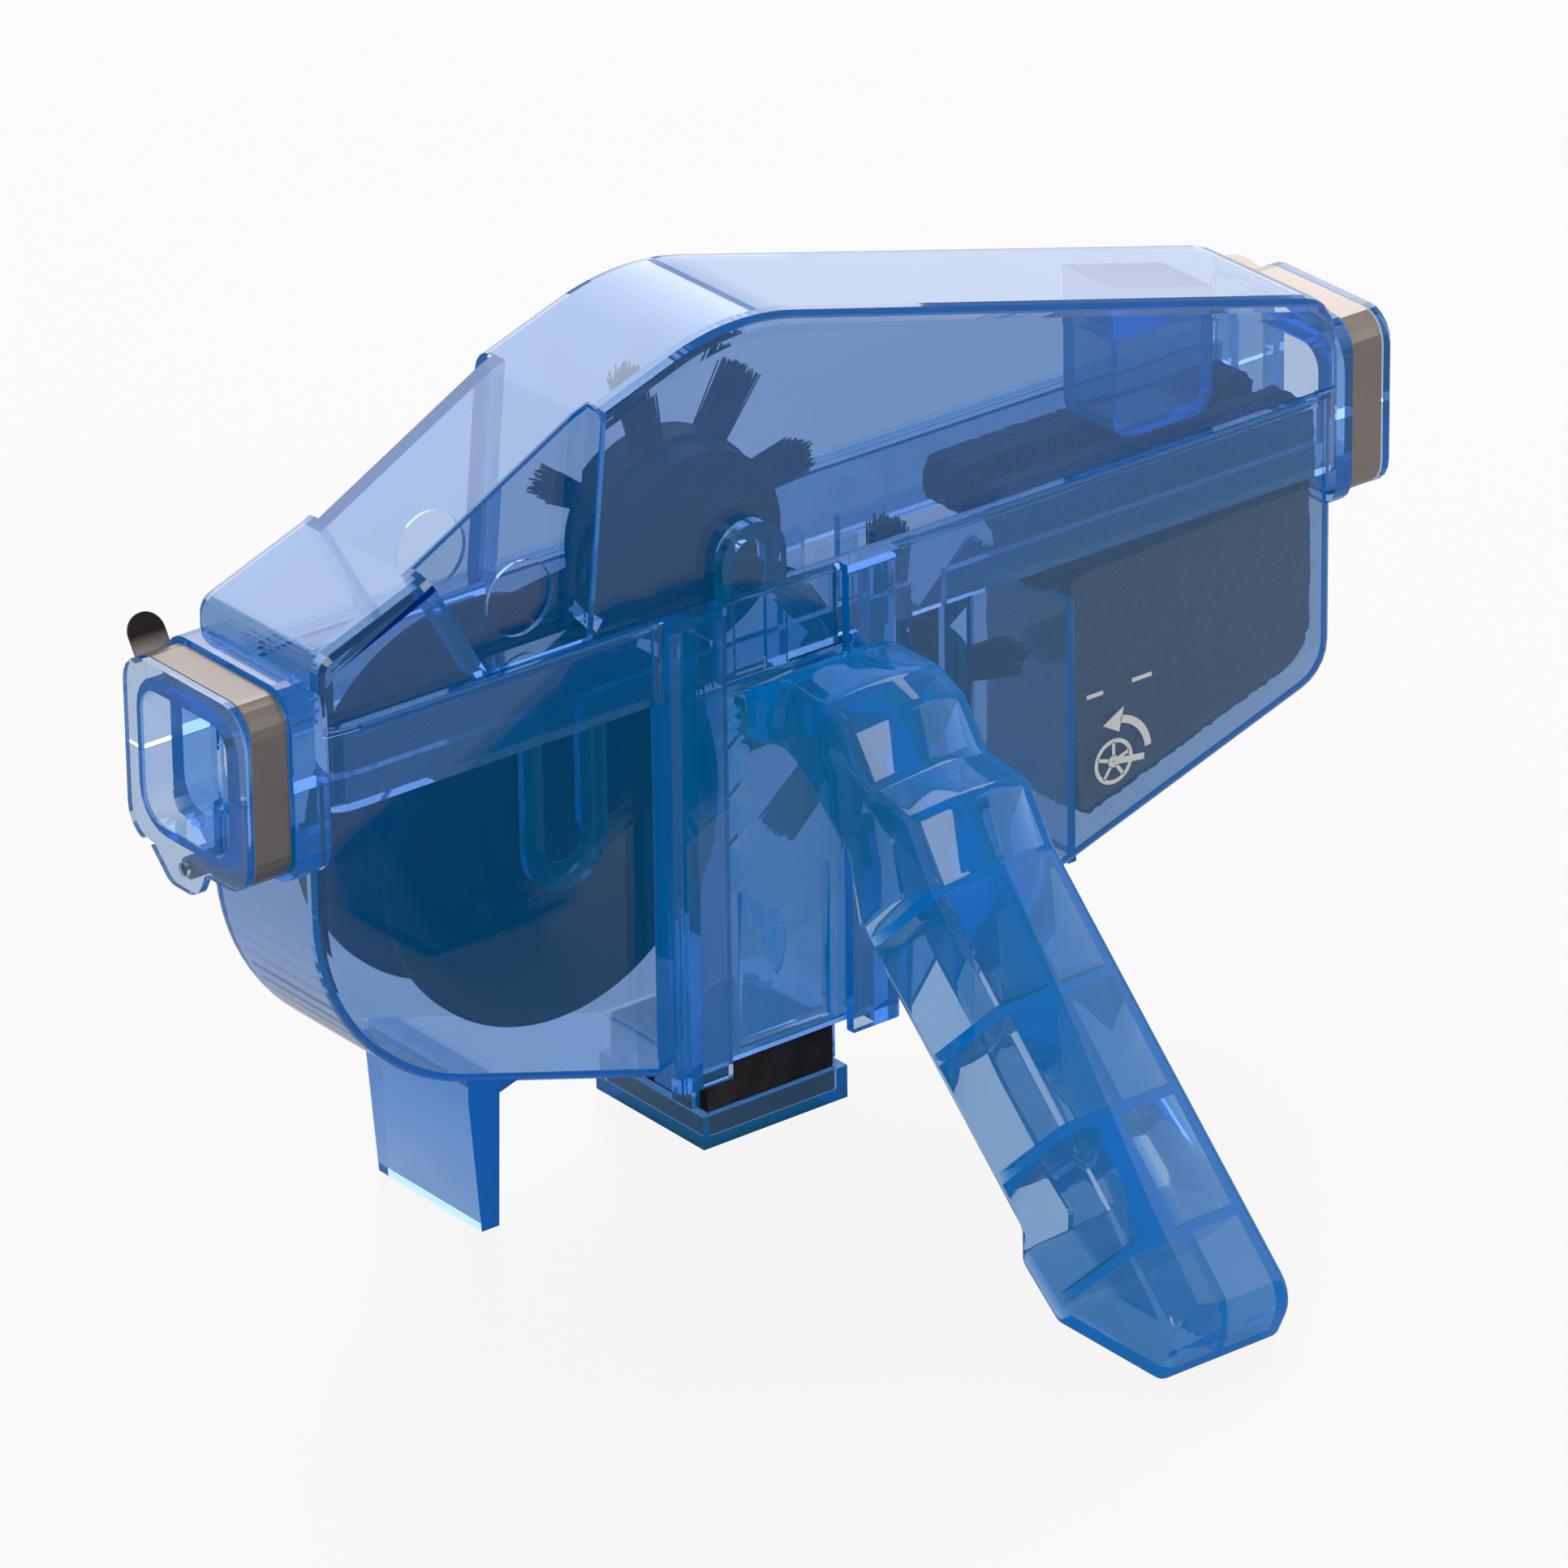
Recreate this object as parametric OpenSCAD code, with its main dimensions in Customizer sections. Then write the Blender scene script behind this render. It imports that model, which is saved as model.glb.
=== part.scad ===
// Clip-on chain cleaner: a clear tank and cover that close round a bicycle chain, with
// scrubbing brushes, a sponge, a magnet and a handle. The origin is the middle of the
// magnet tray's underside. X runs along the chain, the handle is on the -Y side, Z is up.

/* [Body] */
// Distance from the origin forward to the front end wall
front_reach = 85; // [80:0.5:92]
// Distance from the origin back to the rear end wall
rear_reach = 112; // [104:0.5:122]
// Width of the tank below its rim
tank_w = 27; // [26:0.5:32]
// Wall of the tank and cover
wall = 1.6; // [1.2:0.1:2]
// How far the rim band and the axle pockets stand out of the tank's sides
step_out = 1.5; // [1.2:0.1:2.2]
// Height of the tank's rim, where the cover sits
rim_z = 91.4; // [89:0.2:94]
// Height of the tank's floor over the bench
floor_z = 12.5; // [11:0.5:15]
// Round on the tank's lengthwise edges
tank_edge_r = 2; // [1:0.25:2.5]

/* [Tank outline] */
// Distance of the flat floor's front end from the origin
sump_front = 15; // [12:0.5:20]
// Distance of the flat floor's rear end from the origin
sump_rear = 18.5; // [14:0.5:24]
// Slope of the floor ahead of the flat, degrees
front_slope = 16.9; // [12:0.1:20]
// Slope of the floor behind the flat, degrees
rear_slope = 17.9; // [14:0.1:20]
// Round of the tank's front belly
belly_r = 38; // [30:1:42]
// Round of the tank's rear lower corner
rear_corner_r = 8; // [4:0.5:12]
// Round where the slopes meet the flat floor
floor_r = 10; // [5:1:14]

/* [Cover outline] */
// Height of the cover's front corner over the rim
front_rise = 12.6; // [11:0.2:15]
// Length of the cover's low front ramp
sill_len = 19.5; // [17:0.5:22]
// Rise of the low front ramp
sill_rise = 7.2; // [6:0.2:9]
// Length of the main ramp
ramp_len = 31.5; // [29:0.5:34]
// Rise of the main ramp
ramp_rise = 16.8; // [15:0.2:18]
// Length from the ramp's top to the crest corner
shoulder_len = 27.6; // [24:0.2:30]
// Rise from the ramp's top to the crest corner
shoulder_rise = 9.5; // [8:0.25:11]
// Round of the crest
crest_r = 40; // [25:1:45]
// Slope of the roof behind the crest, degrees
roof_slope = 14.5; // [12:0.1:15.5]
// Round of the cover's upper rear corner
roof_end_r = 8; // [4:0.5:10]
// Round on the cover's lengthwise edges
cover_edge_r = 3; // [1.5:0.25:3.5]
// How far the cover's sides stand out past the tank's rim band
cover_lip = 0.5; // [0.4:0.1:0.8]

/* [Skirt] */
// Height of the skirt that hangs outside the tank's rim
skirt_h = 13.5; // [12:0.25:15]
// Thickness of the skirt
skirt_t = 1.8; // [1.4:0.1:2.2]
// Radius of the bead along the skirt's top
bead_r = 0.7; // [0.5:0.05:0.9]

/* [Finger recesses] */
// Depth of the finger recess in each side of the cover
recess_depth = 4; // [3:0.25:4.25]
// Distance of the recess's rear edge ahead of the origin, at its foot
recess_rear = 35.4; // [34:0.2:38]
// Width of the recess at its foot
recess_w = 18.8; // [16:0.2:20]
// Height of the recess's foot over the rim
recess_foot = 2.1; // [1.8:0.1:4]
// Lean of the recess's front edge, degrees from upright
recess_lean = 29.2; // [20:0.2:34]
// Radius of the thumb dent low in the recess
dent_r = 6; // [4:0.5:7]

/* [Chain ports] */
// Height of the front port's middle
front_port_z = 84.5; // [83:0.25:86]
// Height of the rear port's middle
rear_port_z = 87; // [85:0.25:88]
// Width and height of a port's flange
flange_w = 30; // [28.5:0.25:32]
// Thickness of a port's flange
flange_t = 1.4; // [1:0.1:2]
// Round of the flange's corners
flange_r = 5; // [4:0.25:5.5]
// Width and height of the neck under the latch
neck_w = 25.6; // [25:0.1:25.8]
// Round of the neck's corners
neck_r = 6.5; // [6.2:0.1:7]
// Width and height of the window that the chain runs through
window_w = 21.6; // [19:0.2:21.8]
// Round of the window's corners
window_r = 4; // [2:0.25:4.5]
// Length of the root between the front end wall and the latch
front_root = 4.7; // [3.5:0.1:6]
// Length of the root between the rear end wall and the latch
rear_root = 1.7; // [1.4:0.1:4]

/* [Latches] */
// Width of the steel latch band
latch_w = 6.3; // [5:0.1:7.5]
// Thickness of the steel latch band
latch_t = 0.6; // [0.5:0.05:0.7]
// Radius of the latch pin
pin_r = 1.1; // [0.9:0.05:1.3]
// Side shift of the latch pin away from the handle
pin_y = 1.5; // [1:0.1:2]
// Radius of the ear round the latch pin
ear_r = 3.4; // [3:0.1:4]
// Length of the front latch's finger tab
front_tab_len = 6.6; // [5:0.2:9]
// Lean of the front latch's finger tab from upright, degrees
front_tab_lean = 32; // [20:1:50]
// Length of the rear latch's finger tab
rear_tab_len = 6; // [5:0.2:9]
// Lean of the rear latch's finger tab from upright, degrees
rear_tab_lean = 78; // [60:1:85]

/* [Top brush] */
// Distance of the top brush's axle ahead of the origin
top_axle_x = 5.8; // [4:0.2:6.4]
// Height of the top brush's axle
top_axle_z = 95.3; // [94.6:0.1:97.6]
// Height of the middle of the arch's round top
arch_z = 98; // [97:0.2:99]
// Width of the slot that carries the top axle
top_slot_w = 6; // [5:0.1:6.6]
// Wall of the arch boss round the top slot
arch_wall = 3.1; // [2:0.1:3.5]
// How far the arch boss stands out of the skirt
arch_out = 0.6; // [0.4:0.1:1]
// Radius of the top brush's hub
top_hub_r = 15.5; // [13:0.25:16]
// Distance of the middle of the top tufts from the mid-plane, away from the handle
top_row_y = 4.8; // [4.7:0.05:5]
// Turn of the top brush's first tuft, degrees
top_turn = -12; // [-22:1:22]

/* [Rear brush] */
// Distance of the rear brush's axle behind the origin
rear_axle_x = 30; // [29:0.25:30.5]
// Distance of the front scrub's axle ahead of the origin
front_axle_x = 39.8; // [39:0.2:42]
// Height of the tank's two axles
axle_z = 60.9; // [59.5:0.1:61.2]
// Width of the slots that carry the tank's axles
slot_w = 7; // [6:0.1:7.4]
// Wall of the raised pocket round each slot
pocket_wall = 4.2; // [3:0.1:4.6]
// Radius of the rear brush's hub
rear_hub_r = 13; // [11:0.25:15.5]
// Distance of the middle of the rear tufts from the mid-plane, toward the handle
rear_row_y = 1.5; // [1.4:0.05:2]
// Turn of the rear brush's first tuft, degrees
rear_turn = 5; // [-22:1:22]

/* [Tufts] */
// Radius at the tips of a brush's tufts
brush_r = 28; // [24:0.25:28.2]
// Tufts round a brush
tufts = 8; // [6:1:9]
// Strands across and along one tuft
tuft_strands = [3, 4];
// Size of one strand across its corners
strand_w = 1.1; // [0.8:0.05:1.3]
// Width of a tuft along the axle
row_w = 5.6; // [4.5:0.1:5.8]
// Spread of the outermost strands of a tuft, degrees
fan = 4; // [0:0.5:6]

/* [Scrub discs] */
// Radius of a scrub disc
disc_r = 30.6; // [28:0.2:31]
// Thickness of a scrub disc
disc_t = 1.6; // [1.2:0.1:1.8]
// Gap between a scrub disc and the tank's side
disc_gap = 0.8; // [0.5:0.1:1]
// Inner ring of bristles
bristle_in_r = 12; // [10.5:0.25:13]
// Outer ring of bristles
bristle_out_r = 19.4; // [17:0.2:19.6]
// Length of the disc bristles
bristle_len = 4.7; // [3.5:0.1:4.9]

/* [Sponge and magnet] */
// Distance of the divider wall behind the origin
divider_x = 58.8; // [58.7:0.05:60]
// Height of the divider wall's top
divider_z = 70; // [66:0.5:74]
// Distance of the sponge's front end behind the origin
sponge_x = 48.5; // [48.3:0.1:50]
// Height of the underside of the sponge's front end
sponge_low_z = 81.6; // [81.5:0.1:84]
// Height of the sponge's top
sponge_z = 90.4; // [89:0.1:91]
// Side of the square magnet
magnet_w = 24.4; // [22:0.2:24.6]
// Height of the magnet
magnet_h = 10.9; // [9:0.1:11]
// Length of the magnet tray along the chain
tray_len = 28; // [27:0.5:32]
// Height of the magnet tray's rim
tray_h = 5.5; // [4:0.25:6.5]

/* [Handle] */
// Sideways place of the handle's grip along the chain
grip_x = 3.4; // [3:0.1:3.6]
// Width of the grip
grip_w = 23.2; // [22.6:0.2:24]
// Slope of the grip from level, degrees
grip_slope = 43.3; // [42:0.1:44]
// Depth of the grip square to its slope
grip_depth = 22.6; // [20:0.2:24]
// Reach of the grip's tip from the mid-plane
grip_reach = 118.5; // [112:0.5:122]
// Rise of the grip's crown across its width
crown = 3; // [1.5:0.25:4]
// Skin of the grip
skin = 2; // [1.6:0.1:2.4]
// Thickness of the grip's inner ribs
rib_t = 1.8; // [1.4:0.1:2.2]
// Spacing of the grip's cross ribs
rib_pitch = 20.3; // [18:0.1:22]

/* [Handle mount] */
// Height of the handle plate's top
plate_top = 77; // [75:0.25:77.5]
// Height of the handle plate's foot
plate_foot = 16; // [15:0.25:18]
// Middle of the handle plate along the chain, ahead of the origin
plate_x = 1.1; // [1:0.1:1.4]
// Width of the opening between the two rails
channel_w = 23.4; // [22:0.2:24]
// Width of each rail
rail_w = 9.8; // [9:0.1:10.5]
// Height that the rails stand out of the tank's side
rail_out = 6; // [5.5:0.1:6.4]
// Thickness of the rails' lips and of the handle plate
lip_t = 1.7; // [1.4:0.1:1.8]

/* [Hidden] */

// Overrun of every cut past the face that it opens
over = 1;
// Gap between the tank's rim band and the skirt
slip = 0.2;
// Gap between the two halves of a port
parting = 0.1;
// Gap at each side of the latch band and round its neck
latch_gap = 0.3;
// Radial clearance of what turns in a slot or on a pin
running = 0.06;
// Clearance of what is pressed together
snug = 0.02;
// End play of each axle
end_play = 0.15;
// Clearance of soft pieces
soft_gap = 0.3;
// Facets of a full circle
fine = 72;
// Facets of a small circle
small = 32;
// Arc points on a small and on a wide round
arc_few = 5;
arc_many = 16;
// Layers of a rounded lengthwise edge
edge_layers = 4;

// Half widths, from the mid-plane outwards
tank_y = tank_w / 2;
band_y = tank_y + step_out;
skirt_in_y = band_y + slip;
skirt_y = skirt_in_y + skirt_t;
cover_y = band_y + cover_lip;
rail_y = tank_y + rail_out;
body_len = front_reach + rear_reach;
shoulder_z = rim_z + wall;
skirt_foot_z = shoulder_z - skirt_h;

// Plain numbers for vectors and arcs
function unit_of(v) = v / norm(v);
function arc_at(c, r, a) = c + r * [cos(a), sin(a)];

// One corner q of an outline, between p and s, as the points of a round of radius r
function round_corner(p, q, s, r, n) =
    let (u = unit_of(p - q), v = unit_of(s - q),
        half = acos(u * v) / 2,
        middle = q + unit_of(u + v) * r / sin(half),
        from = q + u * r / tan(half) - middle,
        to = q + v * r / tan(half) - middle,
        a = atan2(from[1], from[0]),
        swing = atan2(to[1], to[0]) - a,
        turn = swing > 180 ? swing - 360 : swing < -180 ? swing + 360 : swing)
    [for (k = [0 : n]) arc_at(middle, r, a + turn * k / n)];

// An outline from corners [across, up, round, arc points]; no round keeps the corner
function rounded(corners) =
    let (n = len(corners))
    [for (i = [0 : n - 1])
        let (c = corners[i], p = corners[(i + n - 1) % n], s = corners[(i + 1) % n])
        each (c[2] == 0 ? [[c[0], c[1]]]
            : round_corner([p[0], p[1]], [c[0], c[1]], [s[0], s[1]], c[2], c[3]))];

// The same outline moved inward by d, point by point; outlines run anticlockwise
function inset(points, d) =
    let (n = len(points))
    [for (i = [0 : n - 1])
        let (e = unit_of(points[i] - points[(i + n - 1) % n]),
            f = unit_of(points[(i + 1) % n] - points[i]),
            en = [-e[1], e[0]], fn = [-f[1], f[0]],
            m = unit_of(en + fn))
        points[i] + m * d / (m * en)];

// A solid through outlines of equal length, each [station along Y, outline in X and Z]
module loft(rings) {
    n = len(rings[0][1]);
    last = len(rings) - 1;
    polyhedron(
        points = [for (ring = rings) for (p = ring[1]) [p[0], ring[0], p[1]]],
        faces = concat(
            [[for (i = [n - 1 : -1 : 0]) i]],
            [[for (i = [0 : n - 1]) last * n + i]],
            [for (j = [0 : last - 1]) for (i = [0 : n - 1])
                [j * n + i, j * n + (i + 1) % n, (j + 1) * n + (i + 1) % n]],
            [for (j = [0 : last - 1]) for (i = [0 : n - 1])
                [j * n + i, (j + 1) * n + (i + 1) % n, (j + 1) * n + i]]),
        convexity = 6);
}

// A slab of an outline with both lengthwise edges rounded by r
module soft_slab(outline, half_w, r) {
    near = [for (k = [0 : edge_layers])
        let (a = 90 * k / edge_layers)
        [-half_w + r * (1 - cos(a)), inset(outline, r * (1 - sin(a)))]];
    far = [for (k = [edge_layers : -1 : 0]) [-near[k][0], near[k][1]]];
    loft(concat(near, far));
}

// A flat slab of a shape drawn in X and Z, centred on the mid-plane
module slab(half_w) {
    rotate([90, 0, 0]) linear_extrude(height = 2 * half_w, center = true) children();
}

// A slab of a shape drawn in X and Z that lies between two distances on the near side
module near_slab(y0, y1) {
    translate([0, -y0, 0]) rotate([90, 0, 0]) linear_extrude(height = y1 - y0) children();
}

// A bar along X of a shape drawn in Y and Z, from x0 to x1
module bar_along_x(x0, x1) {
    translate([x0, 0, 0]) rotate([90, 0, 90]) linear_extrude(height = x1 - x0) children();
}

// A round bar along Y through x and z
module rod(x, z, r, half_w, facets = fine) {
    translate([x, half_w, z]) rotate([90, 0, 0]) cylinder(h = 2 * half_w, r = r, $fn = facets);
}

// A square with round corners, about its middle
module round_square(w, r) {
    polygon(rounded([for (s = [[-1, -1], [1, -1], [1, 1], [-1, 1]])
        [s[0] * w / 2, s[1] * w / 2, r, arc_few]]));
}

// Both sides of the body
module both_sides() {
    children();
    mirror([0, 1, 0]) children();
}

// Outlines of the tank and the cover in X and Z
belly_z = floor_z + (front_reach - sump_front) * tan(front_slope);
heel_z = floor_z + (rear_reach - sump_rear) * tan(rear_slope);
tank_outline = rounded([
    [-front_reach, belly_z, belly_r, arc_many],
    [-sump_front, floor_z, floor_r, arc_few],
    [sump_rear, floor_z, floor_r, arc_few],
    [rear_reach, heel_z, rear_corner_r, arc_few],
    [rear_reach, rim_z, 0],
    [-front_reach, rim_z, 0]]);

sill_x = -front_reach + sill_len;
ramp_x = sill_x + ramp_len;
crest_x = ramp_x + shoulder_len;
front_top_z = rim_z + front_rise;
sill_z = front_top_z + sill_rise;
ramp_z = sill_z + ramp_rise;
crest_z = ramp_z + shoulder_rise;
roof_end_z = crest_z - (rear_reach - crest_x) * tan(roof_slope);
crease_r = cover_edge_r + wall;
front_top_r = cover_edge_r + wall / 2;
cover_outline = rounded([
    [-front_reach, rim_z - cover_edge_r, 0],
    [rear_reach, rim_z - cover_edge_r, 0],
    [rear_reach, roof_end_z, roof_end_r, arc_few],
    [crest_x, crest_z, crest_r, arc_many],
    [ramp_x, ramp_z, crease_r, arc_few],
    [sill_x, sill_z, crease_r, arc_few],
    [-front_reach, front_top_z, front_top_r, arc_few]]);

// Chain ports. Each runs outwards from its end wall along +X in its own frame.
function port_reach(root) = root + 2 * latch_gap + latch_w + flange_t;
band_in = flange_w / 2 - latch_t - slip / 4;
band_out = band_in + latch_t;
eye_r = pin_r + running + latch_t;
pin_drop = band_in + eye_r;
root_w = flange_w + step_out;

// Places one port's shapes: the front one is turned to face forward, pins stay aside alike
module at_port(front) {
    if (front) translate([-front_reach, 0, front_port_z]) mirror([1, 0, 0]) children();
    else translate([rear_reach, 0, rear_port_z]) children();
}

module port_ear(x0, x1) {
    far_spread = 3 * ear_r;
    near_spread = 2 * ear_r;
    foot = -pin_drop - ear_r;
    bar_along_x(x0, x1) polygon(rounded([
        [pin_y - near_spread, -neck_w / 2, 0],
        [pin_y - ear_r, foot, ear_r - snug, arc_few],
        [pin_y + ear_r, foot, ear_r - snug, arc_few],
        [pin_y + far_spread, -neck_w / 2, 0]]));
}

module port_body(root) {
    reach = port_reach(root);
    bar_along_x(-wall, root) round_square(root_w, flange_r);
    bar_along_x(0, reach) round_square(neck_w, neck_r);
    bar_along_x(reach - flange_t, reach) round_square(flange_w, flange_r);
}

module port_window(root) {
    bar_along_x(-wall - over, port_reach(root) + over) round_square(window_w, window_r);
}

// The half space over or under a port's middle
module port_half(upper, root) {
    size = flange_w + 4 * ear_r;
    side = upper ? parting / 2 : -size - parting / 2;
    translate([-wall - over, -size / 2, side]) cube([port_reach(root) + wall + 2 * over, size, size]);
}

module lower_port(front, root) {
    at_port(front) difference() {
        union() {
            intersection() {
                port_body(root);
                port_half(false, root);
            }
            port_ear(port_reach(root) - flange_t, port_reach(root));
            port_ear(0, root);
        }
        port_window(root);
        bar_along_x(-over, port_reach(root) + over) translate([pin_y, -pin_drop])
            circle(r = pin_r + snug, $fn = small);
    }
}

module upper_port(front, root) {
    at_port(front) difference() {
        intersection() {
            port_body(root);
            port_half(true, root);
        }
        port_window(root);
    }
}

// Cuts the tank away over a port's middle, and the cover under it, along the end wall
module end_wall_cut(front, upper, half_w) {
    at_port(front) translate([-wall - slip, -half_w, upper ? -parting / 2 : -rim_z])
        cube([wall + slip + over, 2 * half_w, upper ? rim_z : rim_z + parting / 2]);
}

// Tank
slot_r = slot_w / 2;
pocket_r = slot_r + pocket_wall;
band_foot_z = skirt_foot_z - slip;
band_in_z = band_foot_z + pocket_wall;
cover_bottom_z = rim_z + snug;

module slot_shape(x, r, top) {
    translate([x, axle_z]) circle(r = r, $fn = fine);
    translate([x - r, axle_z]) square([2 * r, top - axle_z]);
}

module tank_shell() {
    difference() {
        union() {
            soft_slab(tank_outline, tank_y, tank_edge_r);
            slab(band_y) {
                translate([-front_reach + wall + slip, band_foot_z])
                    square([body_len - 2 * (wall + slip), rim_z - band_foot_z]);
            }
            slab(band_y) slot_shape(-front_axle_x, pocket_r, band_foot_z + over);
            slab(band_y) slot_shape(rear_axle_x, pocket_r, band_foot_z + over);
        }
        slab(tank_y - wall) polygon(inset(tank_outline, wall));
        slab(tank_y - wall) translate([-front_reach + wall, axle_z])
            square([body_len - 2 * wall, rim_z]);
        slab(band_y - wall) translate([-front_reach + 2 * wall + slip, band_in_z])
            square([body_len - 4 * wall - 2 * slip, rim_z]);
        slab(band_y - wall) slot_shape(-front_axle_x, slot_r, band_in_z + over);
        slab(band_y - wall) slot_shape(rear_axle_x, slot_r, band_in_z + over);
    }
}

// The wall between the wet front chamber and the sponge
module divider() {
    x0 = divider_x;
    z0 = floor_z + (x0 - sump_rear) * tan(rear_slope);
    difference() {
        translate([x0, -tank_y + wall / 2, z0]) cube([wall, tank_w - wall, divider_z - z0]);
        translate([x0 - over, 0, divider_z + window_w / 2]) rotate([0, 90, 0])
            cylinder(h = wall + 2 * over, r = window_w / 2 + wall, $fn = fine);
    }
}

// The blade that stands under the tank's front
foot_x = 54.4;
foot_t = 3.3;
foot_top_t = 7;
foot_fillet = 3;
module front_foot() {
    top = floor_z + (foot_x - sump_front) * tan(front_slope) + wall / 2;
    flare = top - foot_fillet;
    half_w = tank_y - tank_edge_r / 4;
    slab(half_w) polygon([
        [-foot_x - foot_t / 2, 0], [-foot_x + foot_t / 2, 0],
        [-foot_x + foot_top_t / 3, flare],
        [-foot_x + foot_top_t, top - wall],
        [-foot_x - foot_top_t / 2, top + wall],
        [-foot_x - foot_top_t / 2, flare]]);
}

// The posts that hold the top brush's axle from below
module axle_posts() {
    post_w = top_slot_w - 4 * running;
    difference() {
        both_sides() near_slab(band_y - wall, band_y)
            translate([-top_axle_x - post_w / 2, band_in_z])
                square([post_w, top_axle_z - band_in_z]);
        rod(-top_axle_x, top_axle_z, top_slot_w / 2, band_y + over);
    }
}

// Four lugs under the floor that hold the magnet
module magnet_lugs() {
    lug_w = 3 * wall;
    lug_h = floor_z - tray_h - soft_gap;
    gap = magnet_w / 2 + slip;
    for (sx = [-1, 1]) for (sy = [-1, 1])
        translate([sx > 0 ? gap : -gap - wall, sy * magnet_w / 3 - lug_w / 2, floor_z - lug_h])
            cube([wall, lug_w, lug_h + wall / 2]);
}

// The two rails that the handle plate slides down between
rail_left = -plate_x - channel_w / 2;
rail_right = -plate_x + channel_w / 2;
rail_rib_w = rail_w / 2;
rail_foot_z = plate_foot - wall;
rail_round = wall;
module rail_section(inner) {
    sign = inner < -plate_x ? -1 : 1;
    outer = inner + sign * rail_w;
    rib = outer - sign * rail_rib_w;
    polygon(rounded([
        [sign * outer, -tank_y + wall / 2, 0],
        [sign * rib, -tank_y + wall / 2, 0],
        [sign * rib, -rail_y + lip_t, 0],
        [sign * inner, -rail_y + lip_t, 0],
        [sign * inner, -rail_y, 0],
        [sign * outer, -rail_y, rail_round, arc_few]]));
}

module rail(inner) {
    translate([0, 0, rail_foot_z]) linear_extrude(height = rim_z - rail_foot_z)
        mirror([inner < -plate_x ? 1 : 0, 0, 0]) rail_section(inner);
}

module lower_housing() {
    color([0.16, 0.42, 0.85, 0.5]) union() {
        difference() {
            union() {
                tank_shell();
                divider();
                front_foot();
                magnet_lugs();
                rail(rail_left);
                rail(rail_right);
            }
            end_wall_cut(true, true, root_w);
            end_wall_cut(false, true, root_w);
            at_port(true) port_window(front_root);
            at_port(false) port_window(rear_root);
        }
        lower_port(true, front_root);
        lower_port(false, rear_root);
        axle_posts();
    }
}

// Cover
top_slot_r = top_slot_w / 2;
arch_r = top_slot_r + arch_wall;
arch_y = skirt_y + arch_out;
post_len = 20;
post_mid_x = 83;
post_w = 12;
post_r = 4;
recess_rear_x = -recess_rear;
recess_foot_z = rim_z + recess_foot;
recess_top_z = crest_z + recess_depth;
recess_run = (recess_top_z - recess_foot_z) * tan(recess_lean);
recess_back = (recess_top_z - recess_foot_z) * tan(recess_lean / 5);
recess_outline = [
    [recess_rear_x - recess_w, recess_foot_z],
    [recess_rear_x, recess_foot_z],
    [recess_rear_x + recess_back, recess_top_z],
    [recess_rear_x - recess_w - recess_run, recess_top_z]];

module arch_shape(r) {
    translate([-top_axle_x, arch_z]) circle(r = r, $fn = fine);
    translate([-top_axle_x - r, skirt_foot_z]) square([2 * r, arch_z - skirt_foot_z]);
}

module arch_boss() {
    difference() {
        both_sides() near_slab(cover_y - wall, arch_y) arch_shape(arch_r);
        translate([-front_reach, -skirt_in_y, skirt_foot_z - over])
            cube([body_len, 2 * skirt_in_y, rim_z + over - skirt_foot_z]);
    }
}

module cover_outer() {
    difference() {
        soft_slab(cover_outline, cover_y, cover_edge_r);
        translate([-front_reach - over, -skirt_y, rim_z - skirt_h])
            cube([body_len + 2 * over, 2 * skirt_y, skirt_h]);
    }
}

module cover_shell() {
    difference() {
        cover_outer();
        difference() {
            slab(cover_y - wall) polygon(inset(cover_outline, wall));
            both_sides() near_slab(cover_y - recess_depth - wall, cover_y + over)
                polygon(inset(recess_outline, -wall));
        }
        both_sides() near_slab(cover_y - recess_depth, cover_y + over) polygon(recess_outline);
        both_sides() near_slab(cover_y - recess_depth - wall / 2, cover_y)
            translate([recess_rear_x - recess_w / 2, recess_foot_z + dent_r + wall])
                circle(r = dent_r, $fn = small);
    }
}

// The skirt with its shoulder, the beads along its top and the notches for the rails
module skirt() {
    difference() {
        translate([0, 0, skirt_foot_z]) linear_extrude(height = skirt_h) polygon(rounded([
            [-front_reach + slip, -skirt_y, flange_r, arc_few],
            [rear_reach - slip, -skirt_y, flange_r, arc_few],
            [rear_reach - slip, skirt_y, flange_r, arc_few],
            [-front_reach + slip, skirt_y, flange_r, arc_few]]));
        translate([-front_reach + wall, -skirt_in_y, skirt_foot_z - over])
            cube([body_len - 2 * wall, 2 * skirt_in_y, skirt_h - wall + over]);
        translate([-front_reach + wall, -cover_y + wall, skirt_foot_z - over])
            cube([body_len - 2 * wall, 2 * (cover_y - wall), skirt_h + 2 * over]);
        end_wall_cut(true, false, root_w / 2 + slip);
        end_wall_cut(false, false, root_w / 2 + slip);
    }
    bead_len = body_len - 2 * flange_r - 2 * wall;
    both_sides() translate([-front_reach + flange_r + wall, -skirt_y, shoulder_z - bead_r - slip])
        rotate([0, 90, 0]) cylinder(h = bead_len, r = bead_r, $fn = small);
}

module rail_notches() {
    for (x0 = [rail_left - rail_w - slip, rail_right - slip])
        translate([x0, -rail_y - over, skirt_foot_z - over])
            cube([rail_w + 2 * slip, rail_y + over - skirt_in_y + slip, rim_z + slip + over - skirt_foot_z]);
}

// Square caps that carry the skirt's top over each rail
module rail_caps() {
    for (x0 = [rail_left - rail_w - slip, rail_right - slip])
        translate([x0, -rail_y, rim_z + slip]) cube([rail_w + 2 * slip, rail_y - cover_y + wall, wall - slip]);
}

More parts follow.
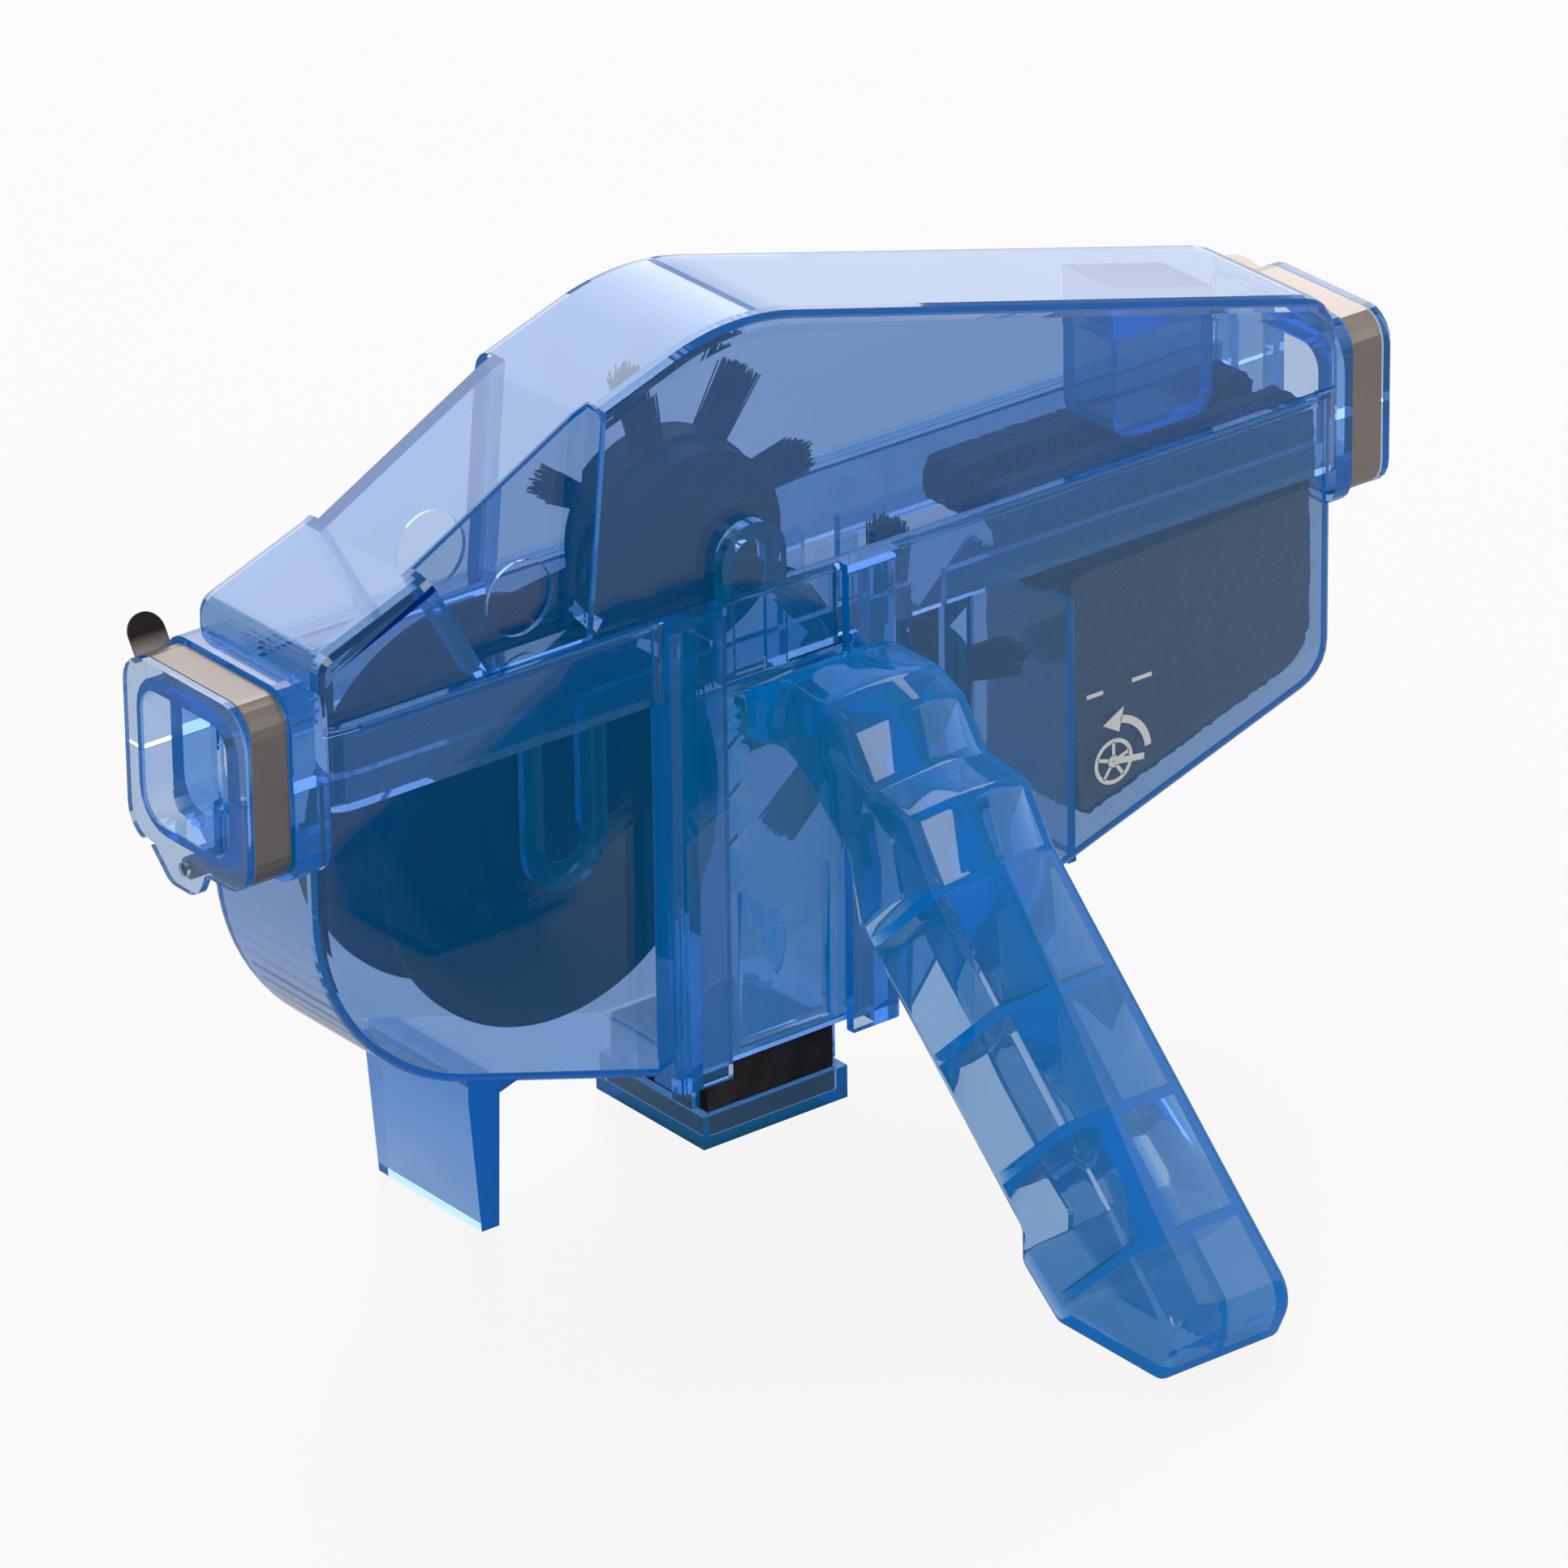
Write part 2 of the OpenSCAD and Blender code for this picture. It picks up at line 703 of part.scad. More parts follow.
// The hollow post that holds the sponge down
module sponge_post() {
    difference() {
        intersection() {
            slab(post_w / 2) polygon(rounded([
                [post_mid_x - post_len / 2, sponge_z + soft_gap, post_r, arc_few],
                [post_mid_x + post_len / 2, sponge_z + soft_gap, post_r, arc_few],
                [post_mid_x + post_len / 2, crest_z, 0],
                [post_mid_x - post_len / 2, crest_z, 0]]));
            slab(post_w) polygon(inset(cover_outline, wall / 2));
        }
        slab(post_w / 2 - wall) polygon(rounded([
            [post_mid_x - post_len / 2 + wall, sponge_z + soft_gap + wall, post_r - wall, arc_few],
            [post_mid_x + post_len / 2 - wall, sponge_z + soft_gap + wall, post_r - wall, arc_few],
            [post_mid_x + post_len / 2 - wall, roof_end_z, 0],
            [post_mid_x - post_len / 2 + wall, roof_end_z, 0]]));
    }
}

module upper_housing() {
    color([0.2, 0.48, 0.9, 0.5]) difference() {
        union() {
            difference() {
                union() {
                    cover_shell();
                    skirt();
                    arch_boss();
                    for (front = [true, false]) at_port(front)
                        translate([-wall, -skirt_in_y, parting / 2])
                            cube([wall, 2 * skirt_in_y, rim_z - front_port_z]);
                }
                rail_notches();
                at_port(true) port_window(front_root);
                at_port(false) port_window(rear_root);
            }
            upper_port(true, front_root);
            upper_port(false, rear_root);
            rail_caps();
            sponge_post();
        }
        both_sides() near_slab(cover_y - wall - over, arch_y - wall) arch_shape(top_slot_r);
    }
}

// Latches
module band_ring() {
    difference() {
        round_square(2 * band_out, flange_r);
        round_square(2 * band_in, flange_r - latch_t);
    }
}

tab_turn = 50;
tab_middle = band_in - flange_r + latch_t;
module latch_outline() {
    far = band_out + over;
    difference() {
        band_ring();
        polygon([
            [pin_y, -far], [far, -far], [far, tab_middle],
            [tab_middle, tab_middle], [pin_y, 0]]);
        translate([tab_middle, tab_middle]) polygon([
            [0, 0], [far, -far],
            [far, far * tan(90 - tab_turn)]]);
    }
    translate([pin_y, -pin_drop]) circle(r = eye_r, $fn = small);
}

module latch_tab(tab_len, lean) {
    tip_r = latch_w / 2;
    mid_r = flange_r - latch_t / 2;
    translate([0, tab_middle + mid_r * sin(tab_turn), tab_middle + mid_r * cos(tab_turn)])
        rotate([-lean, 0, 0]) {
        translate([0, -latch_t / 2, 0]) cube([latch_w, latch_t, tab_len - tip_r]);
        translate([tip_r, latch_t / 2, tab_len - tip_r]) rotate([90, 0, 0])
            cylinder(h = latch_t, r = tip_r, $fn = small);
    }
}

module latch(front, root, tab_len, lean) {
    at_port(front) translate([root + latch_gap, 0, 0]) difference() {
        union() {
            bar_along_x(0, latch_w) latch_outline();
            latch_tab(tab_len, lean);
        }
        bar_along_x(-over, latch_w + over) translate([pin_y, -pin_drop])
            circle(r = pin_r + running, $fn = small);
    }
}

module front_latch() {
    color([0.66, 0.58, 0.5]) latch(true, front_root, front_tab_len, front_tab_lean);
}

module rear_latch() {
    color([0.66, 0.58, 0.5]) latch(false, rear_root, rear_tab_len, rear_tab_lean);
}

module latch_pin(front, root) {
    inset_len = flange_t / 3;
    at_port(front) bar_along_x(slip, port_reach(root) - inset_len)
        translate([pin_y, -pin_drop]) circle(r = pin_r, $fn = small);
}

module front_latch_pin() {
    color([0.35, 0.33, 0.31]) latch_pin(true, front_root);
}

module rear_latch_pin() {
    color([0.35, 0.33, 0.31]) latch_pin(false, rear_root);
}

// Brushes with radial tufts: a hub on an axle, and one ring of tufts on its backing
backing_t = 0.8;
strand_pitch = 1.2;
boss_r_share = 0.6;
hub_side = 4;
top_hub_near_y = 3.7;
brush_axle_r = top_slot_r - running;
tank_axle_r = slot_r - running;
top_boss_y = cover_y - recess_depth - wall - soft_gap;
top_axle_y = arch_y - wall - end_play;
tank_axle_y = band_y - wall - end_play;

// A hub between two distances from the mid-plane, with a boss to each side of it
module hub(x, z, r, y0, y1, boss_y, bore_r) {
    difference() {
        union() {
            translate([x, y1, z]) rotate([90, 0, 0]) cylinder(h = y1 - y0, r = r, $fn = 2 * fine);
            rod(x, z, r * boss_r_share, boss_y);
        }
        rod(x, z, bore_r + snug, boss_y + over);
    }
}

// One tuft pointing up from the origin: strands that fan out towards their tips
module tuft(foot_r) {
    across = tuft_strands[0];
    along = tuft_strands[1];
    pitch = (row_w - 2 * strand_w) / (along - 1);
    for (i = [0 : across - 1]) for (j = [0 : along - 1]) {
        side = i - (across - 1) / 2;
        trim = ((i + j) % 2) * strand_w;
        translate([side * strand_pitch, 0, 0])
            rotate([0, side * fan * 2 / (across - 1), 0])
                translate([0, (j - (along - 1) / 2) * pitch, foot_r])
                    cylinder(h = brush_r - foot_r - trim, r = strand_w / 2, $fn = 4);
    }
}

module tuft_ring(x, y, z, r, first) {
    translate([x, y, z]) {
        rotate([90, 0, 0]) difference() {
            cylinder(h = row_w, r = r + backing_t, center = true, $fn = 2 * fine);
            cylinder(h = row_w + 2 * over, r = r + snug, center = true, $fn = 2 * fine);
        }
        for (k = [0 : tufts - 1]) rotate([0, first + k * 360 / tufts, 0]) tuft(r + backing_t / 2);
    }
}

brush_black = [0.06, 0.07, 0.09];

module top_brush_hub() {
    color(brush_black) hub(-top_axle_x, top_axle_z, top_hub_r, -top_hub_near_y,
        top_boss_y - slip, top_boss_y, brush_axle_r);
}

module top_brush_axle() {
    color([0.3, 0.31, 0.33]) rod(-top_axle_x, top_axle_z, brush_axle_r, top_axle_y);
}

module top_brush_tufts() {
    color(brush_black) tuft_ring(-top_axle_x, top_row_y, top_axle_z, top_hub_r, top_turn);
}

module rear_brush_hub() {
    half = row_w / 2 + hub_side;
    color(brush_black) hub(rear_axle_x, axle_z, rear_hub_r, -rear_row_y - half,
        -rear_row_y + half, tank_y - wall - disc_gap, tank_axle_r);
}

module rear_brush_axle() {
    color([0.3, 0.31, 0.33]) rod(rear_axle_x, axle_z, tank_axle_r, tank_axle_y);
}

module rear_brush_tufts() {
    color(brush_black) tuft_ring(rear_axle_x, -rear_row_y, axle_z, rear_hub_r, rear_turn);
}

// Front scrub: two discs on one axle, with bristles that face each other
disc_y = tank_y - wall - disc_gap;
sleeve_r = 7;
backing_y = disc_y - disc_t - snug;
sleeve_y = backing_y - bristle_len;
bristle_rings = 4;
bristle_pitch = 4.4;

module disc() {
    translate([-front_axle_x, 0, axle_z]) rotate([90, 0, 0]) difference() {
        union() {
            translate([0, 0, disc_y - disc_t]) cylinder(h = disc_t, r = disc_r, $fn = 2 * fine);
            translate([0, 0, sleeve_y]) cylinder(h = disc_y - sleeve_y, r = sleeve_r, $fn = fine);
        }
        translate([0, 0, sleeve_y - over]) cylinder(h = disc_y, r = tank_axle_r + snug, $fn = fine);
    }
}

module disc_bristles() {
    translate([-front_axle_x, 0, axle_z]) rotate([90, 0, 0]) {
        difference() {
            translate([0, 0, backing_y - backing_t])
                cylinder(h = backing_t, r = bristle_out_r + strand_w, $fn = fine);
            translate([0, 0, backing_y - backing_t - over])
                cylinder(h = backing_t + 2 * over, r = bristle_in_r - strand_w, $fn = fine);
        }
        for (k = [0 : bristle_rings - 1]) {
            r = bristle_in_r + (bristle_out_r - bristle_in_r) * k / (bristle_rings - 1);
            count = floor(2 * PI * r / bristle_pitch);
            for (i = [0 : count - 1]) rotate([0, 0, i * 360 / count + k * 7])
                translate([r, 0, backing_y - bristle_len])
                    cylinder(h = bristle_len - backing_t / 2, r = strand_w / 2, $fn = 4);
        }
    }
}

module front_scrub_axle() {
    color([0.3, 0.31, 0.33]) rod(-front_axle_x, axle_z, tank_axle_r, tank_axle_y);
}

module front_scrub_near_disc() {
    color(brush_black) disc();
}

module front_scrub_far_disc() {
    color(brush_black) mirror([0, 1, 0]) disc();
}

module front_scrub_near_bristles() {
    color(brush_black) disc_bristles();
}

module front_scrub_far_bristles() {
    color(brush_black) mirror([0, 1, 0]) disc_bristles();
}

// Sponge with its chain groove
groove_w = 6;
groove_h = 10;
sponge_gap = 1;
module sponge() {
    half_w = tank_y - wall - sponge_gap;
    back_x = rear_reach - wall - sponge_gap;
    step_x = divider_x + wall + sponge_gap;
    floor_at = floor_z + (step_x - sump_rear) * tan(rear_slope) + 2 * wall + sponge_gap;
    back_floor = floor_z + (back_x - sump_rear) * tan(rear_slope) + 2 * wall + sponge_gap;
    heel = rear_corner_r;
    color([0.1, 0.13, 0.2]) difference() {
        slab(half_w) polygon(rounded([
            [sponge_x, sponge_low_z, groove_w / 2, arc_few],
            [step_x, sponge_low_z, groove_w / 2, arc_few],
            [step_x, floor_at, groove_w / 2, arc_few],
            [back_x, back_floor, heel, arc_few],
            [back_x, sponge_z, groove_w / 2, arc_few],
            [sponge_x, sponge_z, groove_w / 2, arc_few]]));
        translate([sponge_x - over, -groove_w / 2, sponge_z - groove_h])
            cube([body_len, groove_w, groove_h + over]);
    }
}

// Magnet and the tray under it
tray_y = tank_y;
module magnet() {
    color([0.1, 0.1, 0.1]) translate([-magnet_w / 2, -magnet_w / 2, floor_z - magnet_h])
        cube([magnet_w, magnet_w, magnet_h]);
}

module magnet_tray() {
    tray_floor = floor_z - magnet_h;
    well = magnet_w + 2 * slip;
    color([0.08, 0.3, 0.72]) difference() {
        translate([-tray_len / 2, -tray_y, 0]) cube([tray_len, 2 * tray_y, tray_h]);
        translate([-well / 2, -well / 2, tray_floor]) cube([well, well, tray_h]);
    }
}

// Handle. Its outline is drawn as distance out from the mid-plane and height.
neck_top = 81.5;
neck_near = 25;
neck_far = 36;
valley_z = 71.5;
valley_out = 47.5;
knuckle_z = 70.3;
knuckle_out = 57;
grip_top_out = 63;
grip_top_z = 61.3;
step_out_at = 82;
step_rise = 5.5;
foot_in = 90.5;
foot_out = 114.5;
tip_z = 8.5;
elbow_out = 41.5;
elbow_z = 59;
root_low_z = 71;
grip_round = 6;
small_round = 2.5;
handle_edge_r = 1.5;
dir_up = [sin(grip_slope), cos(grip_slope)];
dir_out = [cos(grip_slope), -sin(grip_slope)];

// Height of the grip's top edge and of its underside at a distance out
function grip_top(out) = grip_top_z - (out - grip_top_out) * tan(grip_slope);
function grip_under(out) = grip_top(out) - grip_depth / cos(grip_slope);

// Corners [out, up, round, arc points, top side, open underside]
handle_corners = [
    [tank_y + 2 * lip_t, root_low_z - small_round, 0, 0, 0, 0],
    [neck_near + small_round, root_low_z, grip_round, arc_few, 0, 1],
    [elbow_out, elbow_z, grip_round / 2, arc_few, 0, 1],
    [elbow_out + small_round, grip_under(elbow_out + small_round), small_round, arc_few, 0, 1],
    [step_out_at, grip_under(step_out_at), small_round, arc_few, 0, 1],
    [step_out_at, grip_under(step_out_at) - step_rise, small_round, arc_few, 0, 0],
    [foot_in, 0, small_round, arc_few, 0, 0],
    [foot_out, 0, small_round, arc_few, 0, 0],
    [grip_reach, tip_z, grip_round, arc_few, 0, 0],
    [grip_top_out, grip_top_z, grip_round, arc_few, 1, 0],
    [knuckle_out, knuckle_z, small_round, arc_few, 1, 0],
    [valley_out, valley_z, small_round, arc_few, 1, 0],
    [neck_far + grip_round, neck_top - small_round, grip_round / 2, arc_few, 1, 0],
    [neck_far, neck_top, grip_round, arc_few, 1, 0],
    [neck_near, neck_top, grip_round, arc_few, 1, 0],
    [tank_y + 2 * lip_t, plate_top, 0, 0, 0, 0]];

// The outline at one station, lifted by the crown, opened below and drawn in all round
function handle_ring(lift, open, draw) =
    inset(rounded([for (c = handle_corners)
        let (p = [c[0], c[1]] + c[4] * lift * dir_up - c[5] * open * dir_up)
        [p[0], p[1], c[2], c[3]]]), draw);

crown_steps = 4;
module handle_form(half_w, edge) {
    stations = concat(
        [for (k = [0 : edge_layers - 1])
            let (a = 90 * k / edge_layers) [-half_w + edge * (1 - cos(a)), edge * (1 - sin(a))]],
        [for (k = [0 : crown_steps]) [(half_w - edge) * (2 * k / crown_steps - 1), 0]],
        [for (k = [edge_layers - 1 : -1 : 0])
            let (a = 90 * k / edge_layers) [half_w - edge * (1 - cos(a)), edge * (1 - sin(a))]]);
    translate([grip_x, 0, 0]) rotate([0, 0, -90]) loft([for (s = stations)
        [s[0], handle_ring(crown * (1 - pow(s[0] / half_w, 2)), 0, s[1])]]);
}

// The hollow under the grip's skin
module handle_hollow() {
    half_w = grip_w / 2 - skin;
    lift = crown * (1 - pow(half_w * 2 / grip_w, 2));
    translate([grip_x, 0, 0]) rotate([0, 0, -90]) slab(half_w)
        polygon(handle_ring(lift, grip_depth / 2, skin));
}

// A plate inside the grip, square to the chain or along it
module handle_ribs() {
    rib_h = 2 * grip_depth;
    translate([grip_x - rib_t / 2, -grip_reach, 0]) cube([rib_t, grip_reach - tank_y, neck_top + crown]);
    for (k = [0 : 3]) {
        out = grip_top_out + (rib_pitch / 2 + (k - 0.5) * rib_pitch) * cos(grip_slope);
        translate([grip_x - grip_w / 2, -out, grip_top(out)]) rotate([90 - grip_slope + 180, 0, 0])
            translate([0, -rib_t / 2, -rib_h / 2]) cube([grip_w, rib_t, rib_h]);
    }
}

// The plate that slides between the rails, with its snap tongue and grip teeth
tongue_w = 16;
tongue_h = 26;
tongue_gap = 0.8;
teeth = 4;
tooth_pitch = 8;
tooth_root = 0.6;
tooth_reach = 6;
tooth_peak_share = 0.5;
module handle_plate() {
    half_w = channel_w / 2 + rail_w - rail_rib_w - slip;
    y0 = rail_y - 2 * lip_t - slip;
    tongue_foot = plate_foot + wall + slip;
    difference() {
        union() {
            near_slab(y0, y0 + lip_t) translate([-plate_x - half_w, plate_foot])
                square([2 * half_w, plate_top - plate_foot]);
            near_slab(tank_y + snug, y0 + lip_t) {
                for (x0 = [-half_w, half_w - wall]) translate([-plate_x + x0, plate_foot])
                    square([wall, plate_top - plate_foot]);
                translate([-plate_x - half_w, plate_top - wall]) square([2 * half_w, wall]);
            }
        }
        near_slab(tank_y, rail_y) difference() {
            translate([-plate_x - tongue_w / 2 - tongue_gap, tongue_foot])
                square([tongue_w + 2 * tongue_gap, tongue_h]);
            translate([-plate_x - tongue_w / 2, tongue_foot + tongue_gap]) square([tongue_w, tongue_h]);
        }
    }
    translate([-plate_x - tongue_w / 8, 0, tongue_foot + tongue_h * 0.62]) 
        rotate([90, 0, 0]) translate([0, 0, y0 + lip_t / 2]) thumb_mark();
    near_slab(y0, rail_y - wall / 2) translate([rail_left + slip, plate_top - teeth * tooth_pitch])
        polygon(concat(
            [[0, teeth * tooth_pitch], [0, 0]],
            [for (k = [0 : teeth - 1]) each [
                [tooth_root, k * tooth_pitch],
                [tooth_reach, (k + tooth_peak_share) * tooth_pitch]]],
            [[tooth_root, teeth * tooth_pitch]]));
}

// The raised oval on the snap tongue
module thumb_mark() {
    long = 11;
    across = 3.4;
    round_r = (long * long + across * across) / (4 * across);
    linear_extrude(height = lip_t) intersection() {
        translate([round_r - across / 2, 0]) circle(r = round_r, $fn = 2 * fine);
        translate([-round_r + across / 2, 0]) circle(r = round_r, $fn = 2 * fine);
    }
}

module handle() {
    color([0.12, 0.45, 0.88, 0.5]) {
        difference() {
            handle_form(grip_w / 2, handle_edge_r);
            difference() {
                handle_hollow();
                handle_ribs();
            }
            translate([rail_right - slip, -rail_y - slip, 0]) cube([rail_w, rail_out + slip, rim_z]);
        }
        handle_plate();
    }
}

lower_housing();
upper_housing();
handle();
front_latch();
rear_latch();
front_latch_pin();
rear_latch_pin();
top_brush_hub();
top_brush_axle();
top_brush_tufts();
rear_brush_hub();
rear_brush_axle();
rear_brush_tufts();
front_scrub_axle();
front_scrub_near_disc();
front_scrub_far_disc();
front_scrub_near_bristles();
front_scrub_far_bristles();
sponge();
magnet();
magnet_tray();
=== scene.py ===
"""Clear blue chain cleaner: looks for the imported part, in its own frame, in metres."""

import math
import random

import bmesh
import bpy
from mathutils import Matrix, Vector


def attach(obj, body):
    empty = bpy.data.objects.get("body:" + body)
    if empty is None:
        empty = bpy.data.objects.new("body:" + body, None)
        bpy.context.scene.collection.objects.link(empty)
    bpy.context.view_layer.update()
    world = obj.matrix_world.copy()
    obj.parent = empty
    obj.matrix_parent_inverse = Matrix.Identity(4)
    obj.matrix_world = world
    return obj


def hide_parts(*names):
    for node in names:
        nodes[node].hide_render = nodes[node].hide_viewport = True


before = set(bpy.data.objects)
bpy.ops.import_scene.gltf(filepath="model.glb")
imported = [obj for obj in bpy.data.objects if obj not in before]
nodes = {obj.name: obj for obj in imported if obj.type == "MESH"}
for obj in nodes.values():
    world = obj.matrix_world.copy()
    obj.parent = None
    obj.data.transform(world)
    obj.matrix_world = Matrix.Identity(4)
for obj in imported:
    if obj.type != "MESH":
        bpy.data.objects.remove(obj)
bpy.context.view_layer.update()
scene = bpy.context.scene
mm = 0.001


# Materials


class Shader:
    """A small helper that adds nodes to one material and links them."""

    def __init__(self, name):
        self.mat = bpy.data.materials.new(name)
        self.mat.use_nodes = True
        self.tree = self.mat.node_tree
        self.tree.nodes.clear()
        self.out = self.add("ShaderNodeOutputMaterial")
        self.coords = self.add("ShaderNodeTexCoord").outputs["Object"]

    def add(self, kind, links=None, **values):
        made = self.tree.nodes.new(kind)
        for key, value in values.items():
            if hasattr(made, key):
                setattr(made, key, value)
            else:
                made.inputs[key.replace("_", " ")].default_value = value
        for key, source in (links or {}).items():
            self.tree.links.new(source, made.inputs[key])
        return made

    def math(self, operation, a, b):
        made = self.add("ShaderNodeMath", operation=operation)
        for socket, value in zip(made.inputs, (a, b)):
            if isinstance(value, (int, float)):
                socket.default_value = value
            else:
                self.tree.links.new(value, socket)
        return made.outputs[0]

    def noise(self, scale, detail=3.0, rough=0.5, coords=None, stretch=None):
        source = coords or self.coords
        if stretch:
            source = self.add("ShaderNodeMapping", {"Vector": source}, Scale=stretch).outputs[0]
        return self.add(
            "ShaderNodeTexNoise", {"Vector": source}, Scale=scale, Detail=detail, Roughness=rough
        ).outputs["Fac"]

    def ramp(self, fac, stops):
        made = self.add("ShaderNodeValToRGB", {"Fac": fac})
        band = made.color_ramp
        while len(band.elements) < len(stops):
            band.elements.new(0.5)
        for element, (place, color) in zip(band.elements, stops):
            element.position = place
            element.color = (*color, 1.0)
        return made.outputs["Color"]

    def bump(self, height, strength, distance):
        return self.add(
            "ShaderNodeBump", {"Height": height}, Strength=strength, Distance=distance
        ).outputs["Normal"]

    def surface(self, shader):
        self.tree.links.new(shader, self.out.inputs["Surface"])
        return self.mat


wall_tone = (0.97, 0.985, 1.0, 1.0)


def clear_blue(name, density, tint, cloud, painted_glow_tone, glow, milk, bend):
    """Clear plastic that deepens with its thickness, with a little light scattered in it.

    It deepens partly by absorption and partly by a painted glow, an emission in its volume
    that adds blue light along thick paths.

    density is per metre, tint is what lamps' light keeps through a wall, cloud what a thin wall
    keeps, painted_glow_tone the colour of the painted glow along thick paths, glow and milk the
    colour and share of the scattered light, and bend the index of refraction.
    """
    s = Shader(name)
    grain = s.noise(90.0, 2.0)
    wave = s.noise(35.0, 2.0, stretch=(1.0, 1.0, 0.6))
    normal = s.bump(wave, 0.06, 0.0004)
    glass = s.add(
        "ShaderNodeBsdfPrincipled",
        {"Roughness": s.math("MULTIPLY", grain, 0.04), "Normal": normal},
        Transmission_Weight=1.0,
        IOR=bend,
        Coat_Weight=0.9,
        Coat_Roughness=0.03,
        Coat_IOR=1.5,
    )
    glass.inputs["Base Color"].default_value = wall_tone
    front = s.add("ShaderNodeBsdfDiffuse", {"Normal": normal}, Color=(*glow, 1.0))
    back = s.add("ShaderNodeBsdfTranslucent", {"Normal": normal}, Color=(*glow, 1.0))
    scatter = s.add("ShaderNodeMixShader", {1: front.outputs[0], 2: back.outputs[0]}, Fac=0.5)
    cloudy = s.noise(25.0, 3.0)
    amount = s.math("ADD", s.math("MULTIPLY", cloudy, milk * 0.3), milk * 0.85)
    body = s.add("ShaderNodeMixShader", {"Fac": amount, 1: glass.outputs[0], 2: scatter.outputs[0]})
    lamp = s.add("ShaderNodeBsdfTransparent", Color=(*tint, 1.0))
    path = s.add("ShaderNodeLightPath")
    shown = s.add(
        "ShaderNodeMixShader",
        {"Fac": path.outputs["Is Shadow Ray"], 1: body.outputs[0], 2: lamp.outputs[0]},
    )
    haze = s.add("ShaderNodeVolumeAbsorption", Color=(*cloud, 1.0), Density=density)
    # Painted glow: an emission in the volume that adds blue light along thick paths, standing in
    # for light that does not reach them.
    depth = s.add("ShaderNodeEmission", Strength=density)
    painted_glow_color = tuple((1.0 - c) * d for c, d in zip(cloud, painted_glow_tone))
    depth.inputs["Color"].default_value = (*painted_glow_color, 1.0)
    volume = s.add("ShaderNodeAddShader", {0: haze.outputs[0], 1: depth.outputs[0]})
    s.tree.links.new(volume.outputs[0], s.out.inputs["Volume"])
    return s.surface(shown.outputs[0])


# Blend width and tone of the painted shade on the front tab.
painted_shade_edge = 2 * mm
painted_shade_tone = (0.035, 0.028, 0.026, 1.0)


def brushed_steel(name, dark, light, rough, stretch, dark_end=None):
    """Brushed steel, with painted shade darkening it above a height where one is given."""
    s = Shader(name)
    grain = s.noise(5000.0, 2.0, 0.5, stretch=stretch)
    soft = s.noise(60.0, 2.0)
    mixed = s.math("ADD", s.math("MULTIPLY", grain, 0.4), s.math("MULTIPLY", soft, 0.6))
    tone = s.ramp(mixed, [(0.3, dark), (0.7, light)])
    # Painted shade: above the given height the colour blends within 2 mm into a near-black tone.
    if dark_end:
        place = s.add("ShaderNodeSeparateXYZ", {"Vector": s.coords}).outputs["Z"]
        full = dark_end + painted_shade_edge
        share = s.add("ShaderNodeMapRange", {"Value": place}, From_Min=dark_end, From_Max=full)
        painted_shade = s.add("ShaderNodeMix", {"Factor": share.outputs[0]}, data_type="RGBA")
        s.tree.links.new(tone, painted_shade.inputs[6])
        painted_shade.inputs[7].default_value = painted_shade_tone
        tone = painted_shade.outputs[2]
    steel = s.add(
        "ShaderNodeBsdfPrincipled",
        {"Base Color": tone, "Normal": s.bump(grain, 0.05, 0.00005)},
        Metallic=1.0,
        Roughness=rough,
    )
    return s.surface(steel.outputs[0])


def moulded(name, dark, light, rough, grain_scale=120.0):
    s = Shader(name)
    grain = s.noise(grain_scale, 3.0)
    plastic = s.add(
        "ShaderNodeBsdfPrincipled",
        {
            "Base Color": s.ramp(grain, [(0.3, dark), (0.7, light)]),
            "Roughness": s.math("ADD", s.math("MULTIPLY", grain, 0.15), rough),
        },
        Specular_IOR_Level=0.06,
    )
    return s.surface(plastic.outputs[0])


def foam(name, dark, light):
    s = Shader(name)
    pores = s.add("ShaderNodeTexVoronoi", {"Vector": s.coords}, Scale=1100.0).outputs["Distance"]
    lumps = s.noise(500.0, 5.0, 0.7)
    # The colour follows the bump's height and is darker down in the pores: painted shade in the
    # pores.
    height = s.math("ADD", pores, lumps)
    body = s.add(
        "ShaderNodeBsdfPrincipled",
        {
            "Base Color": s.ramp(height, [(0.4, dark), (1.0, light)]),
            "Normal": s.bump(height, 0.9, 0.0006),
        },
        Roughness=0.95,
    )
    return s.surface(body.outputs[0])


clear = (0.2, 0.45, 0.78)
lamp_tint = (0.6, 0.8, 0.97)
# In each call, the colour after clear is the tone of the painted glow along thick paths.
blue = clear_blue(
    "clear_blue", 340.0, lamp_tint, clear, (0.0, 0.1, 0.41), (0.0, 0.17, 0.6), 0.15, 1.3
)
grip_blue = clear_blue(
    "grip_blue", 430.0, lamp_tint, clear, (0.0, 0.15, 0.52), (0.0, 0.2, 0.7), 0.2, 1.22
)
band_tones = (0.33, 0.285, 0.265), (0.37, 0.325, 0.3)
band_rough = 0.38
band_grain = (1.0, 0.02, 0.02)
